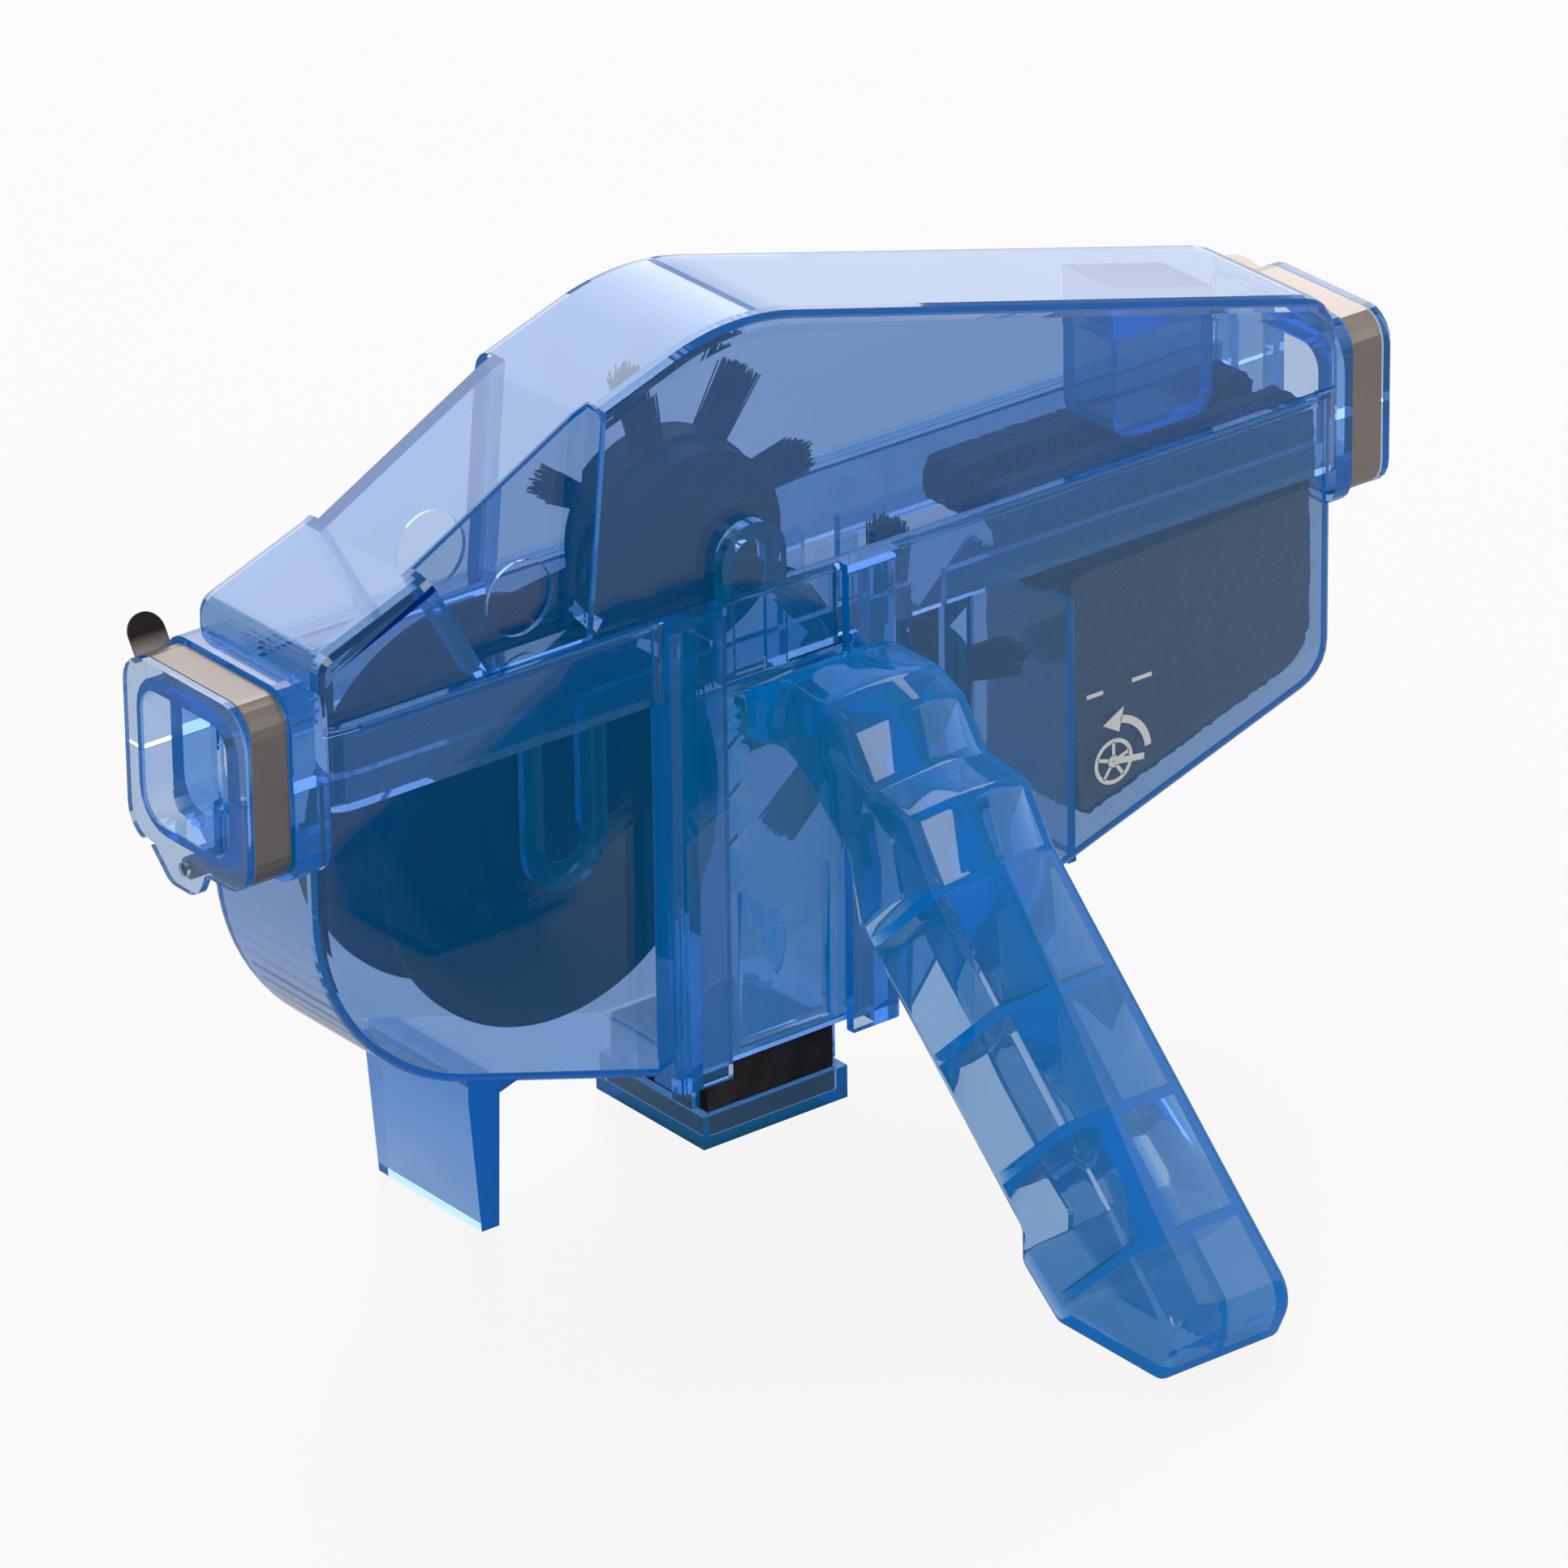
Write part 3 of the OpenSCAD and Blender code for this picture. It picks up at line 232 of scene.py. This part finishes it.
# The front band is painted dark above the tab's foot: painted shade on the tab's face.
tab_foot_z = 98.5 * mm
steel = brushed_steel("steel_band", *band_tones, band_rough, band_grain)
front_steel = brushed_steel("front_steel_band", *band_tones, band_rough, band_grain, tab_foot_z)
pin_tones = (0.16, 0.14, 0.13), (0.3, 0.27, 0.24)
pin_steel = brushed_steel("pin_steel", *pin_tones, 0.35, (0.05, 1.0, 1.0))
black = moulded("black_nylon", (0.002, 0.007, 0.02), (0.005, 0.014, 0.036), 0.45)
strand_black = moulded("black_strands", (0.002, 0.005, 0.012), (0.01, 0.018, 0.04), 0.4, 900.0)
axle_grey = moulded("axle_grey", (0.02, 0.03, 0.06), (0.05, 0.07, 0.12), 0.35)
ferrite = moulded("magnet_dark", (0.03, 0.027, 0.027), (0.06, 0.055, 0.053), 0.4, 260.0)
sponge_foam = foam("sponge_foam", (0.004, 0.006, 0.012), (0.035, 0.045, 0.075))

paint = {
    "lower_housing": blue,
    "upper_housing": blue,
    "handle": grip_blue,
    "magnet_tray": blue,
    "front_latch": front_steel,
    "rear_latch": steel,
    "front_latch_pin": pin_steel,
    "rear_latch_pin": pin_steel,
    "top_brush_hub": black,
    "rear_brush_hub": black,
    "top_brush_axle": axle_grey,
    "rear_brush_axle": axle_grey,
    "front_scrub_axle": axle_grey,
    "front_scrub_near_disc": black,
    "front_scrub_far_disc": black,
    "magnet": ferrite,
}
for name, material in paint.items():
    mesh = nodes[name].data
    mesh.materials.clear()
    mesh.materials.append(material)


# Clear pieces whose flat sides are filled again


weld = 1e-7
same_plane = 2e-6
facing = 0.999
least_area = 1e-10
crease = math.radians(32)


def folded_sides(work):
    """The axis and place of each flat side in which two triangles fold back on each other."""
    sides = set()
    for edge in work.edges:
        pair = edge.link_faces
        if len(pair) != 2 or pair[0].normal.dot(pair[1].normal) >= -facing:
            continue
        if min(face.calc_area() for face in pair) > least_area:
            for face in pair:
                axis = max(range(3), key=lambda k: abs(face.normal[k]))
                sides.add((axis, round(face.verts[0].co[axis], 6)))
    return sorted(sides)


def refill(work, axis, place):
    """Take out the triangles of one flat side and fill its outline again."""
    flat = [
        f for f in work.faces
        if abs(f.normal[axis]) > facing
        and all(abs(v.co[axis] - place) < same_plane for v in f.verts)
    ]
    group = set(flat)
    normal = [0.0, 0.0, 0.0]
    normal[axis] = math.copysign(1.0, sum(f.calc_area() * f.normal[axis] for f in flat))
    edges = [e for e in work.edges if any(f in group for f in e.link_faces)]
    rim = [e for e in edges if not all(f in group for f in e.link_faces)]
    inner = [e for e in edges if all(f in group for f in e.link_faces)]
    bmesh.ops.delete(work, geom=flat, context="FACES_KEEP_BOUNDARY")
    bmesh.ops.delete(work, geom=[e for e in inner if e.is_valid], context="EDGES")
    outline = [e for e in rim if e.is_valid]
    bmesh.ops.triangle_fill(work, edges=outline, use_beauty=True, normal=normal)


def refilled(name, node, material):
    """A copy of a node in which each flat side with folded triangles is filled afresh."""
    work = bmesh.new()
    work.from_mesh(nodes[node].data)
    bmesh.ops.remove_doubles(work, verts=work.verts, dist=weld)
    for axis, place in folded_sides(work):
        refill(work, axis, place)
    bmesh.ops.recalc_face_normals(work, faces=work.faces)
    mesh = bpy.data.meshes.new(name)
    work.to_mesh(mesh)
    work.free()
    mesh.materials.append(material)
    mesh.shade_smooth()
    mesh.set_sharp_from_angle(angle=crease)
    obj = bpy.data.objects.new(name, mesh)
    scene.collection.objects.link(obj)
    even = obj.modifiers.new("even", "WEIGHTED_NORMAL")
    even.weight = 100
    even.keep_sharp = True
    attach(obj, "housing")
    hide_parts(node)


refilled("handle_clear", "handle", grip_blue)


# Pieces made here


def add_mesh(name, verts, faces, material, body, smooth=False):
    mesh = bpy.data.meshes.new(name)
    mesh.from_pydata([tuple(v) for v in verts], [], faces)
    mesh.materials.append(material)
    if smooth:
        mesh.shade_smooth()
    obj = bpy.data.objects.new(name, mesh)
    scene.collection.objects.link(obj)
    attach(obj, body)
    return obj


off_axis = Vector((0.13, 0.92, 0.37))
tip_scale = 0.8


def strand(verts, faces, foot, tip, r):
    """One four-sided strand from foot to tip, a little thinner at the tip."""
    foot, tip = Vector(foot), Vector(tip)
    along = (tip - foot).normalized()
    side = along.cross(off_axis).normalized()
    other = along.cross(side)
    start = len(verts)
    for centre, scale in ((foot, 1.0), (tip, tip_scale)):
        for k in range(4):
            a = math.pi / 2 * k
            verts.append(centre + (side * math.cos(a) + other * math.sin(a)) * r * scale)
    for k in range(4):
        m = (k + 1) % 4
        faces.append((start + k, start + m, start + 4 + m, start + 4 + k))
    faces.append(tuple(start + k for k in (7, 6, 5, 4)))


def ring(verts, faces, radius_in, radius_out, y0, y1, steps=64):
    """A square-section ring about the Y axis through the origin."""
    start = len(verts)
    corners = ((radius_in, y0), (radius_out, y0), (radius_out, y1), (radius_in, y1))
    for k in range(steps):
        a = 2 * math.pi * k / steps
        for r, y in corners:
            verts.append(Vector((math.sin(a) * r, y, math.cos(a) * r)))
    for k in range(steps):
        here, there = start + 4 * k, start + 4 * ((k + 1) % steps)
        for i in range(4):
            j = (i + 1) % 4
            faces.append((here + i, there + i, there + j, here + j))


tufts = 8
strand_r = 0.2 * mm
row_w = 5.6 * mm
tip_r = 28.0 * mm
backing_t = 0.8 * mm
tuft_foot = 1.3 * mm
tuft_tip = 2.2 * mm
tuft_lean = 0.5 * mm
tuft_crown = 0.4 * mm
uneven = 1.8 * mm
stray = 0.3 * mm
strands_across, strands_along = 9, 13


def tuft_ring(name, body, axle, mid, hub_r, first_turn, seed):
    """One ring of flat tufts whose strands end at uneven lengths."""
    rng = random.Random(seed)
    verts, faces = [], []
    ring(verts, faces, hub_r, hub_r + backing_t, mid - row_w / 2, mid + row_w / 2)
    for k in range(tufts):
        turn = math.radians(first_turn + k * 360.0 / tufts)
        out = Vector((math.sin(turn), 0, math.cos(turn)))
        side = Vector((math.cos(turn), 0, -math.sin(turn)))
        lean = rng.uniform(-tuft_lean, tuft_lean)
        for i in range(strands_across):
            for j in range(strands_along):
                u = i / (strands_across - 1) * 2 - 1
                w = (j / (strands_along - 1) - 0.5) * (row_w - 3 * strand_r)
                foot = out * (hub_r + backing_t / 2) + side * u * tuft_foot
                length = tip_r - rng.uniform(0.0, uneven) - abs(u) * tuft_crown
                tip = out * length + side * (u * tuft_tip + lean + rng.uniform(-stray, stray))
                foot.y = mid + w
                tip.y = mid + w + rng.uniform(-stray / 3, stray / 3)
                strand(verts, faces, foot, tip, strand_r)
    verts = [v + axle for v in verts]
    obj = add_mesh(name + "_strands", verts, faces, strand_black, body)
    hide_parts(name)


top_axle = Vector((-5.8, 0, 95.3)) * mm
rear_axle = Vector((30, 0, 60.9)) * mm
front_axle = Vector((-39.8, 0, 60.9)) * mm
tuft_ring("top_brush_tufts", "top_brush", top_axle, 4.8 * mm, 15.5 * mm, -12.0, 11)
tuft_ring("rear_brush_tufts", "rear_brush", rear_axle, -1.5 * mm, 13.0 * mm, 5.0, 13)


disc_back = 9.48 * mm
disc_backing = 10.9 * mm, 20.4 * mm
disc_rows = 12, 13.5, 15, 16.5, 18, 19.3
disc_pitch = 1.1
disc_reach = 4.1 * mm, 4.65 * mm


def disc_bristles(name, near, seed):
    """Rings of bristles on the inner face of one front disc."""
    rng = random.Random(seed)
    sign = -1.0 if near else 1.0
    verts, faces = [], []
    low, high = sorted((sign * (disc_back - backing_t), sign * disc_back))
    ring(verts, faces, *disc_backing, low, high)
    for r in disc_rows:
        count = int(2 * math.pi * r / disc_pitch)
        for i in range(count):
            a = 2 * math.pi * (i + rng.uniform(-0.2, 0.2)) / count
            foot = Vector((math.sin(a) * r, 0, math.cos(a) * r)) * mm
            tip = foot * (1 + rng.uniform(-0.02, 0.02))
            foot.y = sign * (disc_back - backing_t / 2)
            tip.y = sign * (disc_back - rng.uniform(*disc_reach))
            strand(verts, faces, foot, tip, strand_r)
    verts = [v + front_axle for v in verts]
    obj = add_mesh(name + "_strands", verts, faces, strand_black, "front_scrub")
    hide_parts(name)


disc_bristles("front_scrub_near_bristles", True, 21)
disc_bristles("front_scrub_far_bristles", False, 22)


# Sponge: the CAD block, cut finer and roughened a little inwards

sponge = bpy.data.objects.new("sponge_block", nodes["sponge"].data.copy())
scene.collection.objects.link(sponge)
sponge.data.materials.clear()
sponge.data.materials.append(sponge_foam)
remesh = sponge.modifiers.new("cells", "REMESH")
remesh.mode = "VOXEL"
remesh.voxel_size = 0.6 * mm
rough = bpy.data.textures.new("foam", "CLOUDS")
rough.noise_scale = 1.4 * mm
rough.noise_depth = 3
push = sponge.modifiers.new("rough", "DISPLACE")
push.texture = rough
push.texture_coords = "LOCAL"
push.mid_level = 0.85
push.strength = 0.9 * mm
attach(sponge, "housing")
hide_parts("sponge")


# Label film on the near side, with plain marks only

film_y = -13.5 * mm
label = [(58.4, 74.4), (108.9, 76.4), (109.6, 48.6), (60.3, 33.8)]


def film_material(name, color, alpha, rough):
    s = Shader(name)
    grain = s.noise(700.0, 2.0)
    film = s.add(
        "ShaderNodeBsdfPrincipled",
        {"Roughness": s.math("ADD", s.math("MULTIPLY", grain, 0.1), rough)},
        Base_Color=(*color, 1.0),
        Alpha=alpha,
    )
    return s.surface(film.outputs[0])


film_clear = film_material("film_clear", (0.30, 0.36, 0.5), 0.10, 0.25)
ink_white = film_material("ink_white", (0.9, 0.9, 0.9), 1.0, 0.4)


def plates(name, outlines, depth, material):
    """Thin plates on the near side, from their outlines in X and Z, in millimetres."""
    verts, faces = [], []
    for outline in outlines:
        n, start = len(outline), len(verts)
        verts += [Vector((x * mm, film_y - d, z * mm)) for d in depth for x, z in outline]
        faces += [tuple(range(start, start + n))[::-1], tuple(range(start + n, start + 2 * n))]
        for i in range(n):
            k = (i + 1) % n
            faces.append((start + i, start + k, start + n + k, start + n + i))
    return add_mesh(name, verts, faces, material, "housing")


def rounded_outline(points, r, steps=6):
    """Corners of a polygon cut by round arcs."""
    out = []
    n = len(points)
    for i in range(n):
        p, q, s = (Vector(points[k % n]) for k in (i - 1, i, i + 1))
        u, v = (p - q).normalized(), (s - q).normalized()
        half = u.angle(v) / 2
        reach = r / math.tan(half)
        a, b = q + u * reach, q + v * reach
        for k in range(steps + 1):
            t = k / steps
            out.append(tuple((1 - t) ** 2 * a + 2 * t * (1 - t) * q + t * t * b))
    return out


def arc_band(centre, r, width, a0, a1, steps=24):
    """A flat band along an arc from a0 to a1 degrees."""
    cx, cz = centre
    inner, outer = [], []
    for k in range(steps + 1):
        a = math.radians(a0 + (a1 - a0) * k / steps)
        inner.append((cx + (r - width / 2) * math.cos(a), cz + (r - width / 2) * math.sin(a)))
        outer.append((cx + (r + width / 2) * math.cos(a), cz + (r + width / 2) * math.sin(a)))
    return outer + inner[::-1]


def spoke(centre, r0, r1, width, angle):
    """A flat bar from r0 to r1 along a ray."""
    a = math.radians(angle)
    out = Vector((math.cos(a), math.sin(a)))
    side = Vector((-math.sin(a), math.cos(a))) * width / 2
    near, far = Vector(centre) + out * r0, Vector(centre) + out * r1
    return [tuple(p) for p in (near - side, far - side, far + side, near + side)]


plates("label_film", [rounded_outline(label, 2.0)], (0.02 * mm, 0.06 * mm), film_clear)

ink = (0.07 * mm, 0.1 * mm)
dash_a = [(61.8, 53.0), (65.1, 53.0), (65.1, 53.7), (61.8, 53.7)]
dash_b = [(70.9, 53.3), (74.9, 53.3), (74.9, 54.0), (70.9, 54.0)]
plates("fill_dashes", [dash_a, dash_b], ink, ink_white)

wheel_centre = (67.2, 40.9)
wheel = [arc_band(wheel_centre, 3.5, 0.7, 0, 359), arc_band(wheel_centre, 0.6, 0.9, 0, 359)]
wheel += [spoke(wheel_centre, 0.9, 3.3, 0.6, 18 + 72 * k) for k in range(5)]
plates("turn_wheel", wheel, ink, ink_white)
plates("turn_crank", [spoke(wheel_centre, 0.6, 6.2, 1.1, -8)], (0.1 * mm, 0.13 * mm), ink_white)
arrow = arc_band(wheel_centre, 7.0, 1.3, 6, 78)
head_foot = spoke(wheel_centre, 4.9, 9.1, 0.05, 77)
head = [head_foot[0], head_foot[1], spoke(wheel_centre, 7.0, 7.1, 0.05, 108)[0]]
plates("turn_arrow", [arrow, head], ink, ink_white)


# Stage, light and camera


def stage_plane(name, size, z, material):
    mesh = bpy.data.meshes.new(name)
    mesh.from_pydata(
        [(-size, -size, z), (size, -size, z), (size, size, z), (-size, size, z)], [], [(0, 1, 2, 3)]
    )
    mesh.materials.append(material)
    obj = bpy.data.objects.new(name, mesh)
    scene.collection.objects.link(obj)
    return obj


floor_dark, floor_light = (0.42, 0.42, 0.42), (0.46, 0.46, 0.46)
floor_shader = Shader("floor_white")
sweep = floor_shader.noise(4.0, 2.0)
lit = floor_shader.add(
    "ShaderNodeBsdfPrincipled",
    {"Base Color": floor_shader.ramp(sweep, [(0.3, floor_dark), (0.7, floor_light)])},
    Roughness=0.35,
)
white = floor_shader.add("ShaderNodeEmission", Color=(1.0, 0.995, 0.997, 1.0), Strength=1.0)
rays = floor_shader.add("ShaderNodeLightPath")
seen_by = floor_shader.math(
    "MAXIMUM", rays.outputs["Is Camera Ray"], rays.outputs["Is Transmission Ray"]
)
mixed = floor_shader.add(
    "ShaderNodeMixShader",
    {"Fac": floor_shader.math("MULTIPLY", seen_by, 0.9), 1: lit.outputs[0], 2: white.outputs[0]},
)
stage_plane("floor", 4.0, -0.0002, floor_shader.surface(mixed.outputs[0]))

world = bpy.data.worlds.new("studio")
scene.world = world
world.use_nodes = True
tree = world.node_tree
tree.nodes.clear()
path = tree.nodes.new("ShaderNodeLightPath")
seen = tree.nodes.new("ShaderNodeMath")
seen.operation = "MAXIMUM"
tree.links.new(path.outputs["Is Camera Ray"], seen.inputs[0])
tree.links.new(path.outputs["Is Transmission Ray"], seen.inputs[1])
backdrop = tree.nodes.new("ShaderNodeBackground")
backdrop.inputs["Color"].default_value = (1.0, 1.0, 1.0, 1.0)
backdrop.inputs["Strength"].default_value = 1.0
dome = tree.nodes.new("ShaderNodeBackground")
dome.inputs["Color"].default_value = (1.0, 0.995, 0.99, 1.0)
dome.inputs["Strength"].default_value = 0.32
pick = tree.nodes.new("ShaderNodeMixShader")
tree.links.new(seen.outputs[0], pick.inputs["Fac"])
tree.links.new(dome.outputs[0], pick.inputs[1])
tree.links.new(backdrop.outputs[0], pick.inputs[2])
world_out = tree.nodes.new("ShaderNodeOutputWorld")
tree.links.new(pick.outputs[0], world_out.inputs["Surface"])


def area_lamp(name, place, aim, size, watts):
    data = bpy.data.lights.new(name, "AREA")
    data.shape = "RECTANGLE"
    data.size, data.size_y = size
    data.energy = watts
    lamp = bpy.data.objects.new(name, data)
    lamp.location = place
    lamp.rotation_mode = "QUATERNION"
    lamp.rotation_quaternion = (Vector(aim) - Vector(place)).to_track_quat("-Z", "Y")
    scene.collection.objects.link(lamp)


# Name, place, aim, size and watts
lamps = [
    ("overhead", (0.3, 0.95, 1.05), (0, 0, 0.1), (2.0, 1.2), 21.0),
    ("rear", (1.1, 1.12, 0.32), (0, 0, 0.11), (1.3, 0.5), 2.3),
    ("key", (-0.13, -1.1, 0.82), (0, -0.06, 0.07), (0.5, 0.5), 4.0),
    ("fill", (0.9, -0.6, 0.5), (0, -0.03, 0.05), (0.6, 0.9), 1.6),
]
for lamp_setup in lamps:
    area_lamp(*lamp_setup)

# Fitted to the slopes of parallel edges in the photograph
photo_pixels = 1932.0
focal_pixels = 14000.0
eye = Vector((-0.950117, -1.232718, 0.801581))
look = Vector((0.55476, 0.71006, -0.43366))
right = Vector((0.78421, -0.62037, -0.01258))
up = Vector((0.27796, 0.3331, 0.90099))
camera_data = bpy.data.cameras.new("photo_camera")
camera_data.sensor_width = 36.0
camera_data.lens = camera_data.sensor_width * focal_pixels / photo_pixels
camera_data.clip_start = 0.1
camera_data.clip_end = 20.0
camera = bpy.data.objects.new("photo_camera", camera_data)
scene.collection.objects.link(camera)
axes = Matrix((right, up, -look)).transposed().to_4x4()
camera.matrix_world = Matrix.Translation(eye) @ axes
scene.camera = camera

scene.view_settings.view_transform = "Standard"
scene.cycles.max_bounces = 24
scene.cycles.transmission_bounces = 24
scene.cycles.transparent_max_bounces = 32
scene.cycles.caustics_reflective = False
scene.cycles.caustics_refractive = False
